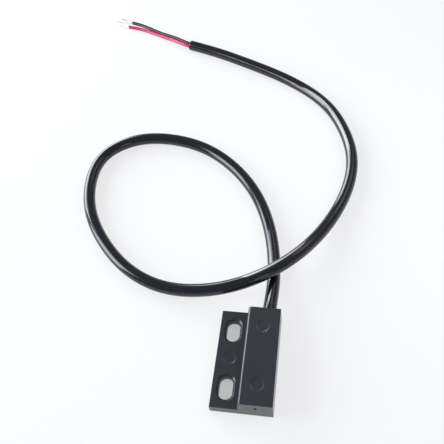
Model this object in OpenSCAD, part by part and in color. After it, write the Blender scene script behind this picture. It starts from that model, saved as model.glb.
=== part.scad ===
// Flange-mount reed sensor: a moulded case with a potted glass reed and a two-core cable.
// The case lies on its flat underside, with the origin at the middle of that face.
// X runs from the flange to the block, Y towards the cable and Z up. Sizes are in millimetres.

/* [Case] */
// Length of the case along the cable
case_l = 23; // [22:0.1:30]
// Width of the case over flange and block
case_w = 13.9; // [13.2:0.1:18]
// Height of the block
case_h = 5.9; // [5.4:0.1:8]
// Thickness of the flange
flange_t = 2.35; // [1.6:0.05:3]
// Width of the block where it meets the flange
block_w = 7.65; // [7.2:0.05:8.4]
// Draft of the outer walls in degrees
draft = 1.4; // [0.5:0.1:2.5]
// Radius of the block's top edge above the flange
block_edge_r = 0.45; // [0.2:0.05:0.8]
// Wall around the potting pocket
case_wall = 1.1; // [0.9:0.05:1.2]
// Roof over the potting pocket
roof_t = 1.1; // [0.8:0.05:1.4]
// Corner radius of the potting pocket
pocket_r = 0.5; // [0.3:0.05:0.8]

/* [Fixing slots] */
// Width of a slot
slot_w = 3.1; // [2.6:0.1:3.4]
// Length of a slot from end to end
slot_l = 5.3; // [4:0.1:6.5]
// Distance between the middles of the slots
slot_pitch = 13.5; // [11:0.1:14]
// Size of the bevel round the top of a slot
slot_bevel = 0.45; // [0.2:0.05:0.6]

/* [Mould marks] */
// Diameter of an ejector-pin mark
pin_mark_d = 3.2; // [2:0.1:4]
// Depth of an ejector-pin mark
pin_mark_depth = 0.1; // [0.04:0.01:0.15]
// Width of the sloping rim of an ejector-pin mark
pin_mark_rim = 0.4; // [0.2:0.05:0.6]
// Diameter of the gate mark on the end face
gate_d = 0.8; // [0.5:0.1:1.2]
// Depth of the gate mark
gate_depth = 0.15; // [0.1:0.05:0.3]
// Height of the gate mark above the underside
gate_h = 3.9; // [3:0.1:4.5]

/* [Potting] */
// Depth of the resin's surface inside the rim of the pocket
potting_recess = 0.12; // [0.05:0.01:0.3]

/* [Cable] */
// Diameter of the cable jacket
cable_d = 3.2; // [2.8:0.1:3.4]
// Clearance between the jacket and its hole in the case
cable_clear = 0.05; // [0.02:0.01:0.1]
// Distance of the cable from the middle of the block
cable_off = 0.9; // [0.4:0.1:1]
// Height of the cable's middle where it leaves the case
cable_h = 2.95; // [2.7:0.05:3.1]
// Length of jacket held inside the case
cable_in = 3.6; // [2.5:0.1:4]
// Diameter of a core over its insulation
wire_d = 1.1; // [0.9:0.05:1.2]
// Diameter of the tinned strands of a core
conductor_d = 0.7; // [0.5:0.05:0.8]
// Gap between the two cores at the end of the jacket
core_gap = 0.1; // [0.05:0.05:0.2]

/* [Reed contact] */
// Length of the glass
glass_l = 10; // [9:0.1:10.6]
// Diameter of the glass
glass_d = 1.8; // [1.6:0.05:2.2]
// Wall of the glass
glass_wall = 0.25; // [0.2:0.01:0.3]
// Length of the glass seal at each end
seal_l = 1.4; // [1:0.1:1.8]
// Diameter of a lead
lead_d = 0.5; // [0.4:0.02:0.6]
// Length of lead outside the glass
lead_out = 1.8; // [1.7:0.05:2]
// Width of a blade
blade_w = 0.8; // [0.6:0.02:0.9]
// Thickness of a blade
blade_t = 0.2; // [0.15:0.01:0.25]
// Overlap of the two blades
blade_overlap = 0.8; // [0.5:0.05:1.2]
// Open gap between the two blades
contact_gap = 0.12; // [0.1:0.01:0.16]
// Resin between the reed and the walls of the pocket
reed_cover = 0.5; // [0.3:0.05:0.8]
// Height of the reed's axis above the underside
reed_h = 2.6; // [2.2:0.05:2.8]
// Diameter of a solder joint
solder_d = 1.7; // [1.4:0.05:1.8]
// Film of solder between a lead and the strands on top of it
solder_film = 0.06; // [0.04:0.01:0.1]

/* [Hidden] */
$fn = 48;

// How far a cutting solid reaches past the face it cuts
over = 0.5;
// Steps of a rounded edge in a section
arc_steps = 6;
// Sides of a swept cord, and steps between two of its route points
cord_sides = 8;
cord_steps = 2;

// Case, worked out from the sizes above
end_y = case_l / 2;
side_x = case_w / 2;
foot_x = side_x - block_w;
foot_top_x = foot_x + (case_h - flange_t) * tan(draft);
block_mid_x = side_x - block_w / 2;
flange_mid_x = (foot_x - side_x) / 2;
pocket_w = block_w - 2 * case_wall;
pocket_l = case_l - 2 * case_wall;
pocket_h = case_h - roof_t;

// Reed, along Y on its own axis
reed_x = foot_x + case_wall + reed_cover + glass_d / 2;
reed_y = -pocket_l / 2 + reed_cover + lead_out + glass_l / 2;
bore_r = glass_d / 2 - glass_wall;
seal_y = glass_l / 2 - seal_l;
// Length over which the bore of the glass closes to the lead
neck_l = 0.5;
// Flat root of a reed, which stays with its lead: how far it reaches into the neck, and its length
root_in_neck = 0.1;
root_l = 0.4;
// Root left over past the end of the round wire
root_past_wire = 0.1;
root_start = neck_l - root_in_neck;
root_end = root_start + root_l;
hinge_y = seal_y - root_end;
blade_z = (contact_gap + blade_t) / 2;
// Corner taken off each side of a blade's tip
tip_bevel = 0.16;
// Radius of the rounded ends of the glass
glass_end_r = 0.45;

// Solder joints, halfway along the bare leads
joint_y = glass_l / 2 + lead_out / 2;
joint_z = (lead_d + conductor_d) / 2 + solder_film;

// Cable and cores inside the case
cable_x = block_mid_x + cable_off;
jacket_y = end_y - cable_in;
core_off = (wire_d + core_gap) / 2;
// Straight length of a core past the end of the jacket, and before its joint
core_straight = 0.8;
joint_straight = 0.4;
// Height of the bare strands over the underside, laid on top of the leads
strand_z = reed_h + joint_z;
far_joint_y = reed_y + joint_y;
near_joint_y = reed_y - joint_y;
// Bare strands that show beside a joint, and how far they reach past the middle of the joint
strand_bare = 0.3;
strand_in = 0.35;
strand_out = solder_d / 2 + strand_bare;
red_end = [reed_x, far_joint_y + strand_out, strand_z];
red_tip = [reed_x, far_joint_y - strand_in, strand_z];
black_end = [reed_x + strand_out, near_joint_y, strand_z];
black_tip = [reed_x - strand_in, near_joint_y, strand_z];
red_x = cable_x - core_off;
black_x = cable_x + core_off;
// Radius of the turn of the black core towards its joint
black_turn = black_x - black_end.x - joint_straight;
black_turn_mid = [black_x - black_turn, near_joint_y + black_turn];
red_inside = [
    [red_x, jacket_y, cable_h],
    [red_x, jacket_y - core_straight, cable_h],
    red_end + [0, core_straight, 0],
    red_end
];
black_inside = [
    [black_x, jacket_y, cable_h],
    [black_x, jacket_y - core_straight, cable_h],
    for (q = arc(black_turn_mid, black_turn, 0)) [q.x, q.y, strand_z],
    black_end
];

// Route of the cable: X, Y and the height of its underside, from the case to its cut end
exit_lift = cable_h - cable_d / 2;
cable_route = [
    [cable_x, end_y, exit_lift], [4.2, 16, 0.9], [4.2, 22, 0.2], [3.5, 29, 0], [1, 39, 0], [-3.5, 48.5, 0], [-10.5, 57, 0],
    [-19, 63, 0], [-29.5, 66, 0], [-40, 65, 0], [-48, 58.5, 0], [-49.5, 48, 0], [-46.5, 37.5, 0],
    [-40.5, 28.5, 0], [-33, 21.5, 0], [-23.5, 17, 0.2], [-13, 16, 1.4], [-3, 18, 3.1],
    [6, 23.5, 3.6], [13, 32, 2], [18, 41.5, 0.3], [21.5, 51.5, 0], [22.5, 62, 0], [20, 73, 0],
    [15, 82.5, 0], [7.5, 90, 0], [-1.5, 96, 0], [-11, 101, 0], [-20.5, 105.5, 0], [-31, 109.5, 0]
];
// Routes of the two cores past the cut end, and of their bare tips, in the same way
black_route = [
    [-36, 113.1, 0.7], [-40.8, 115.7, 0.3], [-45.6, 118.4, 0], [-50.6, 121.1, 0], [-54.5, 122.6, 0]
];
red_route = [
    [-36.6, 111.9, 0.7], [-41.4, 114.5, 0.3], [-46.2, 117.1, 0], [-51, 119.1, 0], [-55.3, 120.2, 0]
];
black_tip_route = [[-56.5, 123.5, 0], [-59, 124.5, 0]];
red_tip_route = [[-57.5, 121.5, 0], [-60.5, 123, 0]];

// Centre line of a cord of diameter d that follows a route
function centres(route, d) = [for (p = route) [p.x, p.y, max(p.z, 0) + d / 2]];

// Point at t between points i and i + 1, on a smooth curve through all points
function between(p, i, t) =
    let (a = p[max(i - 1, 0)], b = p[i], c = p[i + 1], e = p[min(i + 2, len(p) - 1)])
    let (m = (c - a) / 2, n = (e - b) / 2)
    b * (2 * pow(t, 3) - 3 * pow(t, 2) + 1) + m * (pow(t, 3) - 2 * pow(t, 2) + t)
        + c * (3 * pow(t, 2) - 2 * pow(t, 3)) + n * (pow(t, 3) - pow(t, 2));

function smooth(p) = [
    for (i = [0 : len(p) - 2], k = [0 : cord_steps - 1]) between(p, i, k / cord_steps),
    p[len(p) - 1]
];

// The same curve, kept on or above the surface that a cord of diameter d lies on
function laid(p, d) = [for (q = smooth(p)) [q.x, q.y, max(q.z, d / 2)]];

function unit(v) = v / norm(v);
function heading(p, i) = unit(p[min(i + 1, len(p) - 1)] - p[max(i - 1, 0)]);
function sideways(t) = unit(cross(t, [0, 0, 1]));

// Corners of the rings of a tube of diameter d along the points p
function tube_points(p, d) = [
    for (i = [0 : len(p) - 1])
        let (t = heading(p, i), s = sideways(t), u = cross(s, t))
        for (k = [0 : cord_sides - 1])
            let (a = 360 * k / cord_sides)
            p[i] + d / 2 * (cos(a) * s + sin(a) * u)
];

// Faces of a tube with n rings: a cap at each end and two triangles for each side of each stretch
function tube_faces(n) = [
    [for (k = [cord_sides - 1 : -1 : 0]) k],
    [for (k = [0 : cord_sides - 1]) (n - 1) * cord_sides + k],
    for (i = [0 : n - 2], k = [0 : cord_sides - 1])
        let (a = i * cord_sides + k, b = i * cord_sides + (k + 1) % cord_sides)
        each [[a, b, b + cord_sides], [a, b + cord_sides, a + cord_sides]]
];

// The jacket runs straight inside the case
cable_start = [cable_x, jacket_y, cable_h];
cable_path = [cable_start, each laid(centres(cable_route, cable_d), cable_d)];
cable_end = cable_path[len(cable_path) - 1];
end_heading = heading(cable_path, len(cable_path) - 1);
// The two cores lie side by side in the cut end and leave it square
core_shift = core_off * sideways(end_heading);
function tail(start, route) =
    [start, each laid([start + core_straight * end_heading, each centres(route, wire_d)], wire_d)];
black_path = tail(cable_end + core_shift, black_route);
red_path = tail(cable_end - core_shift, red_route);
// The strands leave the insulation square, on its own middle, and come down to the surface
tip_straight = 0.6;
function tip(path, route) =
    let (n = len(path) - 1)
    [path[n], path[n] + tip_straight * heading(path, n), each centres(route, conductor_d)];
black_tip_path = tip(black_path, black_tip_route);
red_tip_path = tip(red_path, red_tip_route);

// Quarter circle of radius r round a centre, from angle a on, as points of a section
function arc(c, r, a) = [
    for (k = [0 : arc_steps]) c + r * [cos(a - 90 * k / arc_steps), sin(a - 90 * k / arc_steps)]
];

// Tube of diameter d along the points p
module tube(p, d) {
    polyhedron(tube_points(p, d), tube_faces(len(p)));
}

// Round rod of diameter d from a to b
module rod(a, b, d) {
    v = b - a;
    translate(a)
        rotate([0, acos(v.z / norm(v)), atan2(v.y, v.x)])
            cylinder(h = norm(v), d = d);
}

// Section of the case across the cable: flange on the left, block on the right
module case_section() {
    top_x = side_x - case_h * tan(draft);
    polygon([
        [-side_x, 0],
        [-side_x + flange_t * tan(draft), flange_t],
        [foot_x, flange_t],
        each arc([foot_top_x + block_edge_r, case_h - block_edge_r], block_edge_r, 180),
        [top_x, case_h],
        [side_x, 0]
    ]);
}

// Section of the case along the cable, with its drafted ends
module end_section() {
    lean = case_h * tan(draft);
    polygon([[-end_y, 0], [end_y, 0], [end_y - lean, case_h], [lean - end_y, case_h]]);
}

module case_outside() {
    intersection() {
        rotate([90, 0, 0])
            linear_extrude(case_l + 2 * over, center = true)
                case_section();
        rotate([90, 0, 90])
            linear_extrude(case_w + 2 * over, center = true)
                end_section();
    }
}

// Rounded rectangle, from two crossed rectangles and four corner circles
module rounded_rect(w, l, r) {
    square([w - 2 * r, l], center = true);
    square([w, l - 2 * r], center = true);
    for (x = [-1, 1], y = [-1, 1])
        translate([x * (w / 2 - r), y * (l / 2 - r)])
            circle(r);
}

// The space that the resin fills, from height z up to the roof of the pocket
module pocket(z) {
    translate([block_mid_x, 0, z])
        linear_extrude(pocket_h - z)
            rounded_rect(pocket_w, pocket_l, pocket_r);
}

// One fixing slot, along Y, with its top edge bevelled
module slot() {
    straight = slot_l - slot_w;
    for (y = [-straight / 2, straight / 2])
        translate([0, y, -over])
            cylinder(h = flange_t + 2 * over, d = slot_w);
    translate([-slot_w / 2, -straight / 2, -over])
        cube([slot_w, straight, flange_t + 2 * over]);
    for (y = [-straight / 2, straight / 2])
        translate([0, y, flange_t - slot_bevel])
            cylinder(h = slot_bevel, d1 = slot_w, d2 = slot_w + 2 * slot_bevel);
    translate([0, straight / 2, flange_t - slot_bevel])
        rotate([90, 0, 0])
            linear_extrude(straight)
                polygon([
                    [-slot_w / 2, 0],
                    [slot_w / 2, 0],
                    [slot_w / 2 + slot_bevel, slot_bevel],
                    [-slot_w / 2 - slot_bevel, slot_bevel]
                ]);
}

// Shallow round mark of an ejector pin in a top face at height z, with a sloping rim
module pin_mark(x, y, z) {
    translate([x, y, z - pin_mark_depth])
        cylinder(h = pin_mark_depth, d1 = pin_mark_d - 2 * pin_mark_rim, d2 = pin_mark_d);
}

// Gate mark, sunk into the drafted end face away from the cable
module gate_mark() {
    face_y = -end_y + gate_h * tan(draft);
    translate([block_mid_x, face_y + gate_depth, gate_h])
        rotate([90, 0, 0])
            cylinder(h = gate_depth + over, d = gate_d);
}

module cable_hole() {
    translate([cable_x, end_y + over, cable_h])
        rotate([90, 0, 0])
            cylinder(h = case_wall + 2 * over, d = cable_d + 2 * cable_clear);
}

module housing() {
    color([0.16, 0.16, 0.18])
        difference() {
            case_outside();
            pocket(-over);
            cable_hole();
            gate_mark();
            pin_mark(flange_mid_x, 0, flange_t);
            for (y = [-slot_pitch / 2, slot_pitch / 2]) {
                pin_mark(block_mid_x, y, case_h);
                translate([flange_mid_x, y, 0])
                    slot();
            }
        }
}

// What the resin flows round: the jacket, both cores, their strands and joints, and the reed
module potted_pieces() {
    rod([cable_x, jacket_y, cable_h], [cable_x, end_y, cable_h], cable_d);
    tube(red_inside, wire_d);
    tube(black_inside, wire_d);
    rod(red_end, red_tip, conductor_d);
    rod(black_end, black_tip, conductor_d);
    for (y = [near_joint_y, far_joint_y])
        solder_ball(y);
    at_reed() {
        glass_outside();
        lead_wire();
        rotate([180, 0, 0])
            lead_wire();
    }
}

module potting() {
    color([0.1, 0.1, 0.11])
        difference() {
            pocket(potting_recess);
            potted_pieces();
        }
}

// Puts what is made along Y round the origin on the reed's axis
module at_reed() {
    translate([reed_x, reed_y, reed_h])
        children();
}

// Half section of the glass from its axis outwards, up to its rounded ends
module glass_half() {
    r = glass_d / 2;
    e = glass_l / 2;
    polygon([
        [0, e],
        each arc([r - glass_end_r, e - glass_end_r], glass_end_r, 90),
        each arc([r - glass_end_r, glass_end_r - e], glass_end_r, 0),
        [0, -e]
    ]);
}

// Half section of the sealed space, which narrows to the leads at both ends
module space_half() {
    wide_y = seal_y - neck_l;
    polygon([
        [0, -glass_l], [lead_d / 2, -glass_l], [lead_d / 2, -seal_y], [bore_r, -wide_y],
        [bore_r, wide_y], [lead_d / 2, seal_y], [lead_d / 2, glass_l], [0, glass_l]
    ]);
}

module glass_outside() {
    rotate([90, 0, 0])
        rotate_extrude()
            glass_half();
}

module glass_tube() {
    color([0.55, 0.75, 0.62, 0.5])
        at_reed()
            rotate([90, 0, 0])
                rotate_extrude()
                    difference() {
                        glass_half();
                        space_half();
                    }
}

// Round wire of the near reed, from its outer end through the seal
module lead_wire() {
    rod([0, -glass_l / 2 - lead_out, 0], [0, -seal_y + root_end - root_past_wire, 0], lead_d);
}

// Flat strip of the near reed between two places along Y
module strip(y0, y1) {
    translate([-blade_w / 2, y0, blade_z - blade_t / 2])
        cube([blade_w, y1 - y0, blade_t]);
}

module near_reed_lead() {
    lead_wire();
    strip(-seal_y + root_start, -hinge_y);
}

// Springy end of the near reed: a flat strip with its two tip corners taken off
module reed_blade() {
    w = blade_w / 2;
    tip = blade_overlap / 2;
    translate([0, 0, blade_z - blade_t / 2])
        linear_extrude(blade_t)
            polygon([
                [-w, -hinge_y], [w, -hinge_y], [w, tip - tip_bevel], [w - tip_bevel, tip],
                [tip_bevel - w, tip], [-w, tip - tip_bevel]
            ]);
}

module near_lead() {
    color([0.72, 0.7, 0.66])
        at_reed()
            near_reed_lead();
}

module far_lead() {
    color([0.72, 0.7, 0.66])
        at_reed()
            rotate([180, 0, 0])
                near_reed_lead();
}

module near_blade() {
    color([0.78, 0.76, 0.7])
        at_reed()
            reed_blade();
}

module far_blade() {
    color([0.78, 0.76, 0.7])
        at_reed()
            rotate([180, 0, 0])
                reed_blade();
}

// Ball of solder at a place along Y, round the lead and the strands on top of it.
// Its seam is turned halfway between X and Y, clear of both.
module solder_ball(y) {
    translate([reed_x, y, reed_h + joint_z / 2])
        rotate([0, 0, 45])
            sphere(d = solder_d);
}

module near_solder() {
    color([0.75, 0.76, 0.78])
        difference() {
            solder_ball(near_joint_y);
            rod(black_end, black_tip, conductor_d);
            at_reed()
                lead_wire();
        }
}

module far_solder() {
    color([0.75, 0.76, 0.78])
        difference() {
            solder_ball(far_joint_y);
            rod(red_end, red_tip, conductor_d);
            at_reed()
                rotate([180, 0, 0])
                    lead_wire();
        }
}

module cable_jacket() {
    color([0.06, 0.06, 0.065])
        tube(cable_path, cable_d);
}

module red_wire() {
    color([0.8, 0.06, 0.2]) {
        tube(red_inside, wire_d);
        tube(red_path, wire_d);
    }
}

module black_wire() {
    color([0.06, 0.06, 0.065]) {
        tube(black_inside, wire_d);
        tube(black_path, wire_d);
    }
}

module red_conductor() {
    color([0.8, 0.8, 0.8]) {
        rod(red_end, red_tip, conductor_d);
        tube(red_tip_path, conductor_d);
    }
}

module black_conductor() {
    color([0.8, 0.8, 0.8]) {
        rod(black_end, black_tip, conductor_d);
        tube(black_tip_path, conductor_d);
    }
}

housing();
potting();
glass_tube();
near_lead();
far_lead();
near_blade();
far_blade();
near_solder();
far_solder();
cable_jacket();
red_wire();
black_wire();
red_conductor();
black_conductor();
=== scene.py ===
"""Looks of a flange-mount reed sensor: moulded case, potted glass reed and two-core cable."""

import logging
import math
from dataclasses import dataclass
from enum import Enum
from functools import cache, partial
from typing import Callable, Sequence

import bmesh
import bpy
import numpy as np
from mathutils import Matrix, Vector


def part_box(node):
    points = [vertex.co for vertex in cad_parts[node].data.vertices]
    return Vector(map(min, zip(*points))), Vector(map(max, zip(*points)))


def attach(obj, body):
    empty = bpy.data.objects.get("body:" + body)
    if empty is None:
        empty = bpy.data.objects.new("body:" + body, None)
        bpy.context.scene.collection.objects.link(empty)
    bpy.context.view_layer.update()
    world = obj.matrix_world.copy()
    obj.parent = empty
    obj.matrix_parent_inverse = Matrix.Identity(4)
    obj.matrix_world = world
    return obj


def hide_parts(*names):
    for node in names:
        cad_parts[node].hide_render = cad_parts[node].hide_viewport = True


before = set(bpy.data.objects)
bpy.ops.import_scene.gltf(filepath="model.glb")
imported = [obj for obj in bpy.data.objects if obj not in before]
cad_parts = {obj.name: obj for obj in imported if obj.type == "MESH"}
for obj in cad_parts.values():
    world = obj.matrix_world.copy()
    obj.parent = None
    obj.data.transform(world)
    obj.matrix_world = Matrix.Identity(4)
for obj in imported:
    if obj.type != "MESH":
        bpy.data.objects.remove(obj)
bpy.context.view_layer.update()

Array = np.ndarray
Colour = tuple[float, float, float]
Point = tuple[float, float, float]
Piece = bpy.types.Object
Tree = bpy.types.NodeTree
Socket = bpy.types.NodeSocket
Sockets = bpy.types.bpy_prop_collection

MM = 0.001
MERGE_DIST = 1e-6
SEAM_DIST = 2e-7
FLAT_ANGLE = math.radians(0.6)
FLAT_WEIGHT = 100
UP = np.array([0.0, 0.0, 1.0])

log = logging.getLogger("reed_sensor")


class Body(Enum):
    """The moving bodies of the part."""

    SENSOR = "sensor"
    NEAR_REED = "near_reed"
    FAR_REED = "far_reed"


class Core(Enum):
    """The two insulated cores of the cable."""

    RED = "red"
    BLACK = "black"


class Lit(Enum):
    """What a lamp lights: every surface, only their sheen, or only their matt colour."""

    ALL = "all"
    SHEEN = "sheen"
    MATT = "matt"


class Side(Enum):
    """The two ends of the reed contact: which way each reed points along the case."""

    NEAR = 1
    FAR = -1

    @property
    def word(self) -> str:
        """The word that names this end's pieces."""
        return self.name.lower()

    @property
    def blade_body(self) -> Body:
        """The body that this end's blade moves with."""
        return Body.NEAR_REED if self is Side.NEAR else Body.FAR_REED


def unit(v: Array) -> Array:
    """Vectors along the last axis, each scaled to length one."""
    return v / np.linalg.norm(v, axis=-1, keepdims=True)


def ease(t: Array) -> Array:
    """A smooth step from 0 to 1: 3 t^2 - 2 t^3, held outside that range."""
    t = np.clip(t, 0.0, 1.0)
    return t * t * (3 - 2 * t)


def turns(count: int) -> Array:
    """Angles once round, without the last one that would repeat the first."""
    return np.linspace(0, 2 * np.pi, count, endpoint=False)


def quarter(count: int) -> Array:
    """Angles over a quarter turn, with both its ends."""
    return np.linspace(0, np.pi / 2, count)


def natural_spline(knots: Array, step: float) -> Array:
    """Smooth line through a route's points.

    Each coordinate is a cubic of the chord length between two knots. The second derivatives M solve
    h[i-1] M[i-1] + 2 (h[i-1] + h[i]) M[i] + h[i] M[i+1] = 6 (slope[i] - slope[i-1]), with no bend
    at the two ends.

    Args:
        knots: Points that the line passes through, one row each.
        step: Distance between the points of the result.

    Returns:
        Points along the line, one row each.
    """
    h = np.linalg.norm(np.diff(knots, axis=0), axis=1)
    s = np.r_[0.0, np.cumsum(h)]
    inner = np.arange(1, len(knots) - 1)
    system = np.eye(len(knots))
    system[inner, inner - 1] = h[:-1]
    system[inner, inner] = 2 * (h[:-1] + h[1:])
    system[inner, inner + 1] = h[1:]
    load = np.zeros_like(knots)
    load[1:-1] = 6 * np.diff(np.diff(knots, axis=0) / h[:, None], axis=0)
    bend = np.linalg.solve(system, load)
    at = np.linspace(0, s[-1], max(2, math.ceil(s[-1] / step) + 1))
    i = np.clip(np.searchsorted(s, at, side="right") - 1, 0, len(knots) - 2)
    past, left, chord = (at - s[i])[:, None], (s[i + 1] - at)[:, None], h[i][:, None]
    curve = (bend[i] * left**3 + bend[i + 1] * past**3) / (6 * chord)
    ends = (knots[i] / chord - bend[i] * chord / 6) * left
    return curve + ends + (knots[i + 1] / chord - bend[i + 1] * chord / 6) * past


def path_axes(path: Array) -> tuple[Array, Array]:
    """Directions across and over a path that nowhere stands upright.

    Args:
        path: Points, in the last axis but one.

    Returns:
        Unit vectors level to the right of the path and upwards from it, one for each point.
    """
    along = unit(np.gradient(path, axis=-2))
    across = unit(np.cross(along, UP))
    return across, np.cross(across, along)


def circle(radii: Array, sides: int) -> Array:
    """Round sections of shape (rings, sides, 2): r (cos a, sin a), for a once round."""
    turn = turns(sides)
    return radii[:, None, None] * np.stack([np.cos(turn), np.sin(turn)], axis=-1)


def turned(radii: Array, heights: Array, sides: int) -> Array:
    """A profile turned round the z axis: (r cos a, r sin a, h), for a once round.

    Args:
        radii: Distance of each ring from the axis.
        heights: Height of each ring.
        sides: Points of a ring.

    Returns:
        Points of shape (1, rings, sides, 3).
    """
    level = circle(radii, sides)
    rise = np.broadcast_to(heights[:, None, None], (*level.shape[:2], 1))
    return np.concatenate([level, rise], axis=-1)[None]


def squared(half_w: Array, half_t: Array, power: Array, sides: int) -> Array:
    """Sections between round and flat: (w |cos a|^(2/p), t |sin a|^(2/p)) with the signs kept.

    Args:
        half_w: Half width of each ring.
        half_t: Half thickness of each ring.
        power: Squareness of each ring; 2 is an ellipse and more is squarer.
        sides: Points of a ring.

    Returns:
        Section points of shape (rings, sides, 2).
    """
    turn = turns(sides)[None, :]
    wave = np.stack([np.cos(turn), np.sin(turn)], axis=-1)
    shaped = np.sign(wave) * np.abs(wave) ** (2 / power[:, None, None])
    return shaped * np.stack([half_w, half_t], axis=-1)[:, None, :]


def carried(path: Array, axes: tuple[Array, Array], section: Array) -> Array:
    """Rings (..., rings, sides, 3) of a section carried along a path: p + s0 across + s1 over."""
    across, over = (a[..., None, :] for a in axes)
    return path[..., None, :] + section[..., :1] * across + section[..., 1:] * over


def closed_tube(lines: Array, radius: float, round_by: float, sides: int) -> Array:
    """Tubes of one radius whose two ends are rounded off and closed.

    Args:
        lines: Middle lines of shape (tubes, points, 3).
        radius: Radius of a tube.
        round_by: How much of the radius is left at the end rings.
        sides: Points of a ring.

    Returns:
        Points of shape (tubes, rings, sides, 3).
    """
    n = lines.shape[-2]
    at = np.r_[0, np.arange(n), n - 1]
    radii = np.full(n + 2, radius)
    radii[[0, -1]] = 0.0
    radii[[1, -2]] = radius * round_by
    across, over = path_axes(lines)
    return carried(lines[:, at], (across[:, at], over[:, at]), circle(radii, sides))


def tube_faces(tubes: int, rings: int, sides: int) -> Array:
    """Quads of closed rings: each joins two neighbours in a ring to the same two in the next ring.

    Args:
        tubes: Number of separate tubes.
        rings: Rings of a tube.
        sides: Points of a ring.

    Returns:
        Vertex numbers, four to a row, facing outwards.
    """
    tube = np.arange(tubes)[:, None, None] * rings * sides
    ring = np.arange(rings - 1)[None, :, None] * sides
    side = np.arange(sides)[None, None, :]
    a = tube + ring + side
    b = tube + ring + (side + 1) % sides
    return np.stack([a, a + sides, b + sides, b], axis=-1).reshape(-1, 4)


def tube_uv(grid: Array) -> Array:
    """Map of a set of tubes: once round the section, and metres along the tube.

    Args:
        grid: Ring points of shape (tubes, rings, sides, 3).

    Returns:
        A pair for each corner of each face, in the order of tube_faces.
    """
    tubes, rings, sides, _ = grid.shape
    step = np.linalg.norm(np.diff(grid.mean(axis=2), axis=1), axis=-1)
    along = np.pad(np.cumsum(step, axis=1), ((0, 0), (1, 0)))
    shape = (tubes, rings - 1, sides)
    first = np.broadcast_to(along[:, :-1, None], shape)
    second = np.broadcast_to(along[:, 1:, None], shape)
    left = np.broadcast_to(np.arange(sides) / sides, shape)
    right = left + 1 / sides
    round_it = np.stack([left, left, right, right], axis=-1)
    along_it = np.stack([first, second, second, first], axis=-1)
    return np.stack([round_it, along_it], axis=-1).reshape(-1, 2)


def new_piece(name: str, grids: Sequence[Array]) -> Piece:
    """One smooth-shaded piece at the origin, from one or more sets of rings.

    Rings of radius nothing, and rings that meet, are merged, so poles and seams are closed.

    Args:
        name: Name of the piece.
        grids: Ring points of shape (tubes, rings, sides, 3), one entry for each set.

    Returns:
        The new object, with a map round and along its tubes.
    """
    starts = np.cumsum([0] + [g.size // 3 for g in grids[:-1]])
    faces = np.concatenate([tube_faces(*g.shape[:3]) + start for g, start in zip(grids, starts)])
    mesh = bpy.data.meshes.new(name)
    mesh.from_pydata(np.concatenate([g.reshape(-1, 3) for g in grids]), [], faces)
    laid_out = np.concatenate([tube_uv(g) for g in grids])
    mesh.uv_layers.new(name="tube").data.foreach_set("uv", laid_out.astype(np.float32).ravel())
    bm = bmesh.new()
    bm.from_mesh(mesh)
    bmesh.ops.remove_doubles(bm, verts=bm.verts, dist=SEAM_DIST)
    bm.to_mesh(mesh)
    bm.free()
    mesh.shade_smooth()
    return place(name, mesh)


def place(name: str, data: bpy.types.ID) -> Piece:
    """Makes an object for a mesh, a lamp or a camera and puts it in the scene."""
    piece = bpy.data.objects.new(name, data)
    bpy.context.scene.collection.objects.link(piece)
    return piece


def crisp(piece: Piece) -> None:
    """Keeps flat faces flat in a smooth-shaded piece, by weighting its normals by area."""
    modifier = piece.modifiers.new("flat faces", "WEIGHTED_NORMAL")
    modifier.weight = FLAT_WEIGHT
    modifier.keep_sharp = True


def span(node: str) -> tuple[Array, Array]:
    """Lowest and highest corners of a node, in metres."""
    low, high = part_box(node)
    return np.array(low), np.array(high)


def middle(node: str) -> Array:
    """Middle of a node's box, in metres."""
    return sum(span(node)) / 2


def merged_copy(node: str) -> bmesh.types.BMesh:
    """A node's triangles, merged into the flat and curved faces that they stand for."""
    bm = bmesh.new()
    bm.from_mesh(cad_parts[node].data)
    bmesh.ops.remove_doubles(bm, verts=bm.verts, dist=MERGE_DIST)
    bmesh.ops.dissolve_limit(bm, angle_limit=FLAT_ANGLE, verts=bm.verts, edges=bm.edges)
    return bm


def blank_material(name: str) -> bpy.types.Material:
    """A node material that has no nodes yet."""
    made = bpy.data.materials.new(name)
    made.use_nodes = True
    made.node_tree.nodes.clear()
    return made


def new_group(name: str, inputs: dict[str, str], outputs: dict[str, str]) -> tuple[Tree, Sockets, Sockets]:
    """An empty shader node group.

    Args:
        name: Name of the group.
        inputs: Kind of each input socket, by its name.
        outputs: Kind of each output socket, by its name.

    Returns:
        The group, the sockets that its values come from, and the sockets that its results go to.
    """
    group = bpy.data.node_groups.new(name, "ShaderNodeTree")
    for label, kind in inputs.items():
        group.interface.new_socket(label, in_out="INPUT", socket_type="NodeSocket" + kind)
    for label, kind in outputs.items():
        group.interface.new_socket(label, in_out="OUTPUT", socket_type="NodeSocket" + kind)
    source = group.nodes.new("NodeGroupInput")
    result = group.nodes.new("NodeGroupOutput")
    return group, source.outputs, result.inputs


def maths(tree: Tree, operation: str, *values: float | Socket) -> Socket:
    """Adds one step of arithmetic to a node tree.

    Args:
        tree: The tree.
        operation: Name of the step.
        values: Its operands, each a number or another node's output.

    Returns:
        The result's socket.
    """
    node = tree.nodes.new("ShaderNodeMath")
    node.operation = operation
    for socket, value in zip(node.inputs, values):
        if isinstance(value, (int, float)):
            socket.default_value = value
        else:
            tree.links.new(value, socket)
    return node.outputs[0]


def noise(tree: Tree, where: Socket, scale: Socket, detail: float) -> Socket:
    """Adds noise between 0 and 1 to a node tree.

    Args:
        tree: The tree.
        where: Coordinates.
        scale: Waves to a metre.
        detail: Number of finer octaves.

    Returns:
        The noise's socket.
    """
    node = tree.nodes.new("ShaderNodeTexNoise")
    node.inputs["Detail"].default_value = detail
    tree.links.new(where, node.inputs["Vector"])
    tree.links.new(scale, node.inputs["Scale"])
    return node.outputs["Fac"]


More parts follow.
